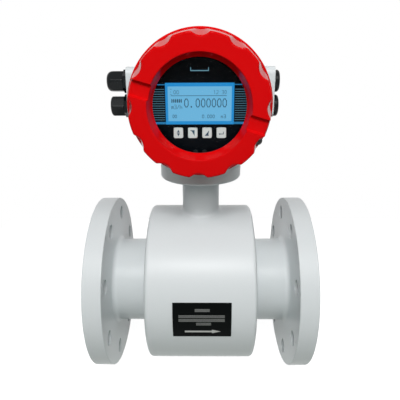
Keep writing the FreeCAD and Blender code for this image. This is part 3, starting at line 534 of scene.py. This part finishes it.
def cover_wall(angle, depth):
    """The cover's outer radius: a drafted wall with scallops and the lock screw's groove."""
    if depth < LIP_FRONT_D:
        return mix(LIP_R, LIP_R - LIP_EDGE, clamp((depth - LIP_FRONT_D + LIP_EDGE) / LIP_EDGE, 0, 1))
    wall = mix(LIP_R - LIP_EDGE, FACE_R, (depth - LIP_FRONT_D) / (FACE_D - LIP_EDGE - LIP_FRONT_D))
    floor_r = scallop_floor(angle, depth)
    if floor_r is not None:
        wall = soft_min(wall, floor_r, SCALLOP_EDGE)
    offset = wrapped(angle - LOCK_ANGLE)
    side = LOCK_R * math.sin(offset)
    if abs(offset) < 1 and abs(side) < LOCK_HOLE_R:
        wall = min(wall, LOCK_R * math.cos(offset) - math.sqrt(LOCK_HOLE_R ** 2 - side ** 2))
    return wall


def cover_run(nominal, inside):
    """The (angle, radius, depth) points of one column, from the bore over the face to the back."""
    run = []

    def add(radius, depth):
        run.append((column_angle(nominal, radius), radius, depth))

    def face_depth(radius):
        offset = channel_offset(column_angle(nominal, radius))
        return FACE_D - channel_depth(radius * math.sin(offset))

    mouth = face_depth(BORE_MOUTH_R) - BORE_EDGE
    for step in range(BORE_ROWS + 1):
        depth = mix(SEAT_D, mouth, step / BORE_ROWS)
        add(mix(SIGHT_R, BORE_MOUTH_R, (depth - SEAT_D) / (FACE_D - SEAT_D)), depth)
    bore_r = run[-1][1]
    for step in range(1, EDGE_ROWS + 1):
        turn = math.pi / 2 * step / EDGE_ROWS
        add(bore_r + BORE_EDGE * (1 - math.cos(turn)), mouth + BORE_EDGE * math.sin(turn))
    rough_r = cover_wall(column_angle(nominal, FACE_R), FACE_D - RIM_EDGE)
    rim_r = cover_wall(column_angle(nominal, rough_r), FACE_D - RIM_EDGE) - RIM_EDGE
    for step in range(1, FACE_ROWS + 1):
        radius = mix(bore_r + BORE_EDGE, rim_r, step / FACE_ROWS)
        add(radius, face_depth(radius))
    top = run[-1][2]
    for step in range(1, EDGE_ROWS + 1):
        turn = math.pi / 2 * step / EDGE_ROWS
        add(rim_r + RIM_EDGE * math.sin(turn), top - RIM_EDGE * (1 - math.cos(turn)))
    for step in range(1, WALL_ROWS + 1):
        depth = mix(top - RIM_EDGE, LIP_FRONT_D, step / WALL_ROWS)
        guess = cover_wall(column_angle(nominal, run[-1][1]), depth)
        add(cover_wall(column_angle(nominal, guess), depth), depth)
    for drop in (LIP_CREASE, LIP_EDGE / 2, LIP_EDGE, COVER_LIP_T):
        add(cover_wall(nominal, LIP_FRONT_D - drop), LIP_FRONT_D - drop)
    back = [(SEAL_HOLE_R, COVER_BACK_D), (SEAL_HOLE_R, SEAL_TOP_D), (THREAD_HOLE_R, SEAL_TOP_D)]
    for radius, depth in back + inside:
        add(radius, depth)
    return run


def cover(name, side, inside, closed):
    """A cover as a fine grid, so that its rounded scallops and edges shine cleanly."""
    columns = cover_columns()
    points = []
    for nominal in columns:
        for angle, radius, depth in cover_run(nominal, inside):
            points.append((radius * math.cos(angle), side * depth, HEAD_Z + radius * math.sin(angle)))
    rows = len(points) // len(columns)
    faces = grid_faces(len(columns), rows, closed)
    if not closed:
        faces.append([column * rows for column in range(len(columns))])
        faces.append([column * rows + rows - 1 for column in range(len(columns))])
    piece(name, points, faces, RED, name, [name])


def covers():
    """The front cover's ring goes back to the glass seat; the rear cover is closed by a web."""
    pocket = [(THREAD_HOLE_R, POCKET_D)]
    collar = [(COLLAR_R, POCKET_D), (COLLAR_R, COLLAR_END_D), (SEAT_R, COLLAR_END_D), (SEAT_R, SEAT_D)]
    web = [(SEAT_R, POCKET_D), (SEAT_R - WEB_COVE, WEB_D)]
    cover("front_cover", -1, pocket + collar, True)
    cover("rear_cover", 1, pocket + web, False)


# Gland nuts


def gland_nut(row, length, dome, end_r, turn):
    """A hexagonal nut that rounds off towards the cable, built outwards along -X."""
    end = NUT_BACK + length
    start = NUT_BACK + MOVING_GAP
    shoulder = end - dome
    bore_r = GLAND_NECK_R + MOVING_GAP
    corner_r = NUT_AF / math.sqrt(3) - NUT_CHAMFER
    profile = [(start, corner_r - NUT_EDGE), (start + NUT_EDGE / 2, corner_r - NUT_EDGE / 5)]
    for step in range(NUT_ROWS + 1):
        profile.append((mix(start + NUT_EDGE, shoulder, step / NUT_ROWS), corner_r))
    for step in range(1, 2 * NUT_ROWS + 1):
        angle = math.pi / 2 * step / (2 * NUT_ROWS)
        profile.append((shoulder + dome * math.sin(angle), end_r + (corner_r - end_r) * math.cos(angle)))
    points = []
    for column in range(NUT_COLUMNS):
        angle = 2 * math.pi * column / NUT_COLUMNS
        to_flat = (angle - turn) % (math.pi / 3) - math.pi / 6
        flat_r = NUT_AF / 2 / math.cos(to_flat)
        run = [(start, bore_r)]
        run += [(x, soft_min(radius, flat_r, NUT_EDGE)) for x, radius in profile]
        run += [(end, GLAND_BORE_R), (end - NUT_END_T, GLAND_BORE_R), (end - NUT_END_T, bore_r)]
        for x, radius in run:
            side = radius * math.sin(angle)
            points.append((-PORT_FACE_X - x, PORT_Y + side, PORT_HEIGHTS[row] + radius * math.cos(angle)))
    faces = grid_faces(NUT_COLUMNS, len(run), True)
    piece(row + "_gland_nut", points, faces, NYLON, row + "_nut", [row + "_gland_nut"])


# Marks: thin plates, given as (x, z) outlines on the faces they are printed or shown on


def marks(name, outlines, place, look, body):
    """Thin plates as one piece. place turns x, z and a height above the face into a point."""
    points = []
    faces = []
    for outline in outlines:
        first = len(points)
        count = len(outline)
        for height in (0, SKIN):
            points += [place(x, z, height) for x, z in outline]
        faces.append([first + index for index in range(count)])
        faces.append([first + count + index for index in range(count)])
        for index in range(count):
            after = (index + 1) % count
            faces.append([first + index, first + after, first + count + after, first + count + index])
    piece(name, points, faces, look, body)


def facing_front(depth):
    """Places on a flat face that looks to -Y at a depth."""
    return lambda x, z, height: (x, -depth - height, z)


def on_label(x, z, height):
    """A place on the label, which follows the drum."""
    return (x, -math.sqrt((LABEL_R + height) ** 2 - z * z), z)


def bar(x0, z0, x1, z1):
    """An upright rectangle's outline."""
    return [(x0, z0), (x1, z0), (x1, z1), (x0, z1)]


def stroke(start, end, width):
    """A straight stroke between two points."""
    along = Vector((end[0] - start[0], end[1] - start[1])).normalized() * width / 2
    across = Vector((-along.y, along.x))
    first = Vector(start) - along
    last = Vector(end) + along
    return [tuple(first - across), tuple(last - across), tuple(last + across), tuple(first + across)]


# Strokes of each sign, on a square from (0, 0) to (1, 1)
GLYPHS = {
    "0": [
        ((0.3, 1), (0.7, 1)), ((1, 0.75), (1, 0.25)), ((0.7, 0), (0.3, 0)), ((0, 0.25), (0, 0.75)),
        ((0, 0.75), (0.3, 1)), ((0.7, 1), (1, 0.75)), ((1, 0.25), (0.7, 0)), ((0.3, 0), (0, 0.25)),
    ],
    "1": [((0.5, 0), (0.5, 1)), ((0.2, 0.8), (0.5, 1))],
    "2": [((0, 1), (1, 1)), ((1, 1), (1, 0.5)), ((1, 0.5), (0, 0)), ((0, 0), (1, 0))],
    "3": [((0, 1), (1, 1)), ((1, 1), (1, 0)), ((0.3, 0.5), (1, 0.5)), ((0, 0), (1, 0))],
    "m": [((0, 0), (0, 0.6)), ((0, 0.6), (1, 0.6)), ((0.5, 0.6), (0.5, 0)), ((1, 0.6), (1, 0))],
    "h": [((0, 0), (0, 1)), ((0, 0.5), (1, 0.5)), ((1, 0.5), (1, 0))],
    "/": [((0, 0), (1, 1))],
    ":": [((0.5, 0.7), (0.5, 0.72)), ((0.5, 0.2), (0.5, 0.22))],
    ".": [((0.5, 0), (0.5, 0.03))],
}


def text(string, x, rise, size):
    """Strokes for a run of figures whose lower left corner is placed from the screen's middle."""
    outlines = []
    low = LCD_Z + rise
    for index, sign in enumerate(string):
        left = x + index * size.pitch
        for start, end in GLYPHS[sign]:
            first = (left + start[0] * size.width, low + start[1] * size.height)
            last = (left + end[0] * size.width, low + end[1] * size.height)
            outlines.append(stroke(first, last, size.stroke))
    return outlines


def screen_bar(left, low, right, high):
    """A bar placed from the screen's middle."""
    return bar(left, LCD_Z + low, right, LCD_Z + high)


def display():
    """The lit screen with its figures."""
    screen = screen_bar(-SCREEN_W / 2, -SCREEN_H / 2, SCREEN_W / 2, SCREEN_H / 2)
    marks("lcd_screen", [screen], facing_front(LCD_D), SCREEN, "meter_body")
    figures = [screen_bar(*HEADER_RULE)]
    for run in FIGURES:
        figures += text(*run)
    left, low, right, high = GAUGE_BAR
    for step in range(GAUGE_COUNT):
        figures.append(screen_bar(left + GAUGE_PITCH * step, low, right + GAUGE_PITCH * step, high))
    figures.append(screen_bar(*GAUGE_RULE))
    marks("lcd_figures", figures, facing_front(LCD_D + SKIN), INK, "meter_body")
    header = []
    for run in HEADER:
        header += text(*run)
    header += [screen_bar(*part) for part in HEADER_MARKS]
    marks("lcd_header", header, facing_front(LCD_D + SKIN), FAINT_INK, "meter_body")


def bezel_print():
    """The printed bands and fine stripes beside the screen, and the hook above it, all with a painted glow.
    """
    on_bezel = facing_front(BEZEL_D)
    low = LCD_Z - LCD_H / 2
    high = LCD_Z + LCD_H / 2
    bands = []
    stripes = []
    for side in (-1, 1):
        near = side * LCD_W / 2
        reach, start, end = LOWER_BAND
        bands.append(bar(near, low + start, side * reach, low + end))
        reach, start, end = UPPER_BAND
        bands.append(bar(near, high - end, side * reach, high - start))
    marks("bezel_bands", bands, on_bezel, PAINTED_GLOW_BAND, "meter_body")
    for index in range(STRIPE_COUNT):
        z = low + STRIPE_RISE + index * STRIPE_PITCH
        reach = math.sqrt(STRIPE_REACH_R ** 2 - (z - HEAD_Z) ** 2)
        for side in (-1, 1):
            stripes.append(bar(side * (LCD_W / 2 + STRIPE_GAP), z, side * reach, z + STRIPE_W))
    marks("bezel_stripes", stripes, on_bezel, PAINTED_GLOW_STRIPE, "meter_body")
    left = -HOOK_W / 2
    right = HOOK_W / 2
    hook = [
        bar(left, HOOK_Z, right, HOOK_Z + HOOK_BAR_T),
        bar(left, HOOK_Z + HOOK_BAR_T, left + HOOK_SIDE_T, HOOK_Z + HOOK_H),
        bar(right - HOOK_SIDE_T, HOOK_Z + HOOK_BAR_T, right, HOOK_Z + HOOK_H),
    ]
    marks("bezel_hook_painted_glow", hook, on_bezel, PAINTED_GLOW_HOOK, "meter_body")


# Arrows on the keys, as (x, z) outlines from each key's middle
KEY_SIGNS = {
    "key_updown": [
        [(-1.5, 0.4), (1.5, 0.4), (0, 3.4)],
        [(1.5, -0.4), (-1.5, -0.4), (0, -3.4)],
    ],
    "key_left": [[(-2.8, 2.8), (2.0, 2.8), (1.8, -3.4), (0.4, -0.6), (-0.6, 1.2)]],
    "key_right": [[(-2.4, -3.0), (2.0, -3.0), (1.4, -1.6), (2.2, 2.8), (-0.6, -0.8)]],
    "key_enter": [
        bar(-1.6, -1.5, 2.4, -0.9),
        bar(1.8, -0.9, 2.4, 1.2),
        [(-2.8, -1.2), (-1.2, -2.3), (-1.2, -0.1)],
    ],
}


def key_signs():
    """The arrows printed on the four keys."""
    for index, name in enumerate(KEYS):
        x = (index - 1.5) * KEY_PITCH
        outlines = [[(x + across, KEY_Z + up) for across, up in outline] for outline in KEY_SIGNS[name]]
        marks(name + "_sign", outlines, facing_front(KEY_FACE_D), INK, name)


def label_marks():
    """The flow arrow, and plain rules where the label has its lines of small print."""
    arrow = []
    x = ARROW_TAIL_X
    while x < ARROW_NECK_X:
        arrow.append(bar(x, ARROW_Z - ARROW_HALF_W, x + ARROW_STEP, ARROW_Z + ARROW_HALF_W))
        x += ARROW_STEP
    head_low = (ARROW_HEAD_X, ARROW_Z - ARROW_HEAD_HALF_W)
    head_high = (ARROW_HEAD_X, ARROW_Z + ARROW_HEAD_HALF_W)
    arrow.append([head_low, (ARROW_TIP_X, ARROW_Z), head_high])
    marks("label_arrow", arrow, on_label, PRINT, "meter_body")
    rules = []
    for block_low, left, right in RULE_BLOCKS:
        for line in range(RULES_IN_BLOCK):
            low = block_low + RULE_PITCH * line
            rules.append(bar(left, low, right, low + RULE_T))
    marks("label_rules", rules, on_label, FINE_PRINT, "meter_body")


# Stage


def seen_directly(nodes, links):
    """1 for rays from the camera, off a shiny surface or through glass, and 0 for the rest."""
    path = nodes.new("ShaderNodeLightPath")
    total = path.outputs["Is Camera Ray"]
    for name in ("Is Glossy Ray", "Is Transmission Ray"):
        add = nodes.new("ShaderNodeMath")
        add.use_clamp = True
        links.new(total, add.inputs[0])
        links.new(path.outputs[name], add.inputs[1])
        total = add.outputs["Value"]
    return total


def stage_material():
    """Pale to the light, and white with the object's shadow where it is seen."""
    made = bpy.data.materials.new("floor")
    made.use_nodes = True
    nodes = made.node_tree.nodes
    links = made.node_tree.links
    pale = nodes["Principled BSDF"]
    pale.inputs["Base Color"].default_value = (*FLOOR_COLOUR, 1)
    pale.inputs["Roughness"].default_value = 0.9
    lit = nodes.new("ShaderNodeBsdfDiffuse")
    lit.inputs["Color"].default_value = (0.8, 0.8, 0.8, 1)
    glow = nodes.new("ShaderNodeEmission")
    glow.inputs["Strength"].default_value = FLOOR_GLOW
    white = nodes.new("ShaderNodeAddShader")
    links.new(lit.outputs["BSDF"], white.inputs[0])
    links.new(glow.outputs["Emission"], white.inputs[1])
    blend = nodes.new("ShaderNodeMixShader")
    links.new(seen_directly(nodes, links), blend.inputs["Fac"])
    links.new(pale.outputs["BSDF"], blend.inputs[1])
    links.new(white.outputs["Shader"], blend.inputs[2])
    links.new(blend.outputs["Shader"], nodes["Material Output"].inputs["Surface"])
    return made


def floor():
    """A plain square floor under the meter."""
    mesh = bpy.data.meshes.new("floor")
    reach = FLOOR_REACH * MM
    corners = [(-reach, -reach, 0), (reach, -reach, 0), (reach, reach, 0), (-reach, reach, 0)]
    mesh.from_pydata(corners, [], [(0, 1, 2, 3)])
    mesh.materials.append(stage_material())
    item = bpy.data.objects.new("floor", mesh)
    item.location = (0, 0, FLOOR_Z * MM)
    bpy.context.scene.collection.objects.link(item)


def world():
    """An even, soft surrounding light that is white where it is seen."""
    made = bpy.data.worlds.new("world")
    bpy.context.scene.world = made
    made.use_nodes = True
    nodes = made.node_tree.nodes
    links = made.node_tree.links
    soft = nodes["Background"]
    soft.inputs["Color"].default_value = (1, 1, 1, 1)
    soft.inputs["Strength"].default_value = WORLD_LIGHT
    white = nodes.new("ShaderNodeBackground")
    white.inputs["Color"].default_value = (1, 1, 1, 1)
    white.inputs["Strength"].default_value = 1.0
    blend = nodes.new("ShaderNodeMixShader")
    links.new(seen_directly(nodes, links), blend.inputs["Fac"])
    links.new(soft.outputs["Background"], blend.inputs[1])
    links.new(white.outputs["Background"], blend.inputs[2])
    links.new(blend.outputs["Shader"], nodes["World Output"].inputs["Surface"])


def softbox(name, place, width, height, watts, mirrored):
    """A rectangular lamp that faces the meter."""
    data = bpy.data.lights.new(name, "AREA")
    data.shape = "RECTANGLE"
    data.size = width
    data.size_y = height
    data.energy = watts
    item = bpy.data.objects.new(name, data)
    item.location = place
    item.rotation_euler = (Vector(LAMP_TARGET) - Vector(place)).to_track_quat("-Z", "Y").to_euler()
    item.visible_glossy = mirrored
    bpy.context.scene.collection.objects.link(item)


def camera():
    """The camera, placed and turned by its own three angles."""
    level = Vector((math.sin(CAMERA_YAW), math.cos(CAMERA_YAW), 0))
    side = Vector((math.cos(CAMERA_YAW), -math.sin(CAMERA_YAW), 0))
    ahead = level * math.cos(CAMERA_PITCH) - Vector((0, 0, math.sin(CAMERA_PITCH)))
    above = level * math.sin(CAMERA_PITCH) + Vector((0, 0, math.cos(CAMERA_PITCH)))
    right = side * math.cos(CAMERA_ROLL) + above * math.sin(CAMERA_ROLL)
    up = above * math.cos(CAMERA_ROLL) - side * math.sin(CAMERA_ROLL)
    data = bpy.data.cameras.new("camera")
    data.sensor_width = SENSOR
    data.lens = CAMERA_LENS
    data.clip_start = NEAREST_SEEN * MM
    data.clip_end = FARTHEST_SEEN * MM
    item = bpy.data.objects.new("camera", data)
    bpy.context.scene.collection.objects.link(item)
    turned = Matrix((right, up, -ahead)).transposed().to_4x4()
    place = Vector((CAMERA_X, -CAMERA_BACK, CAMERA_Z)) * MM
    item.matrix_world = Matrix.Translation(place) @ turned
    bpy.context.scene.camera = item


paint_nodes()
covers()
for row, shape in NUTS.items():
    gland_nut(row, **shape)
display()
bezel_print()
key_signs()
label_marks()
floor()
world()
for name, values in LAMPS.items():
    softbox(name, *values)
camera()
bpy.context.scene.view_settings.view_transform = "Standard"
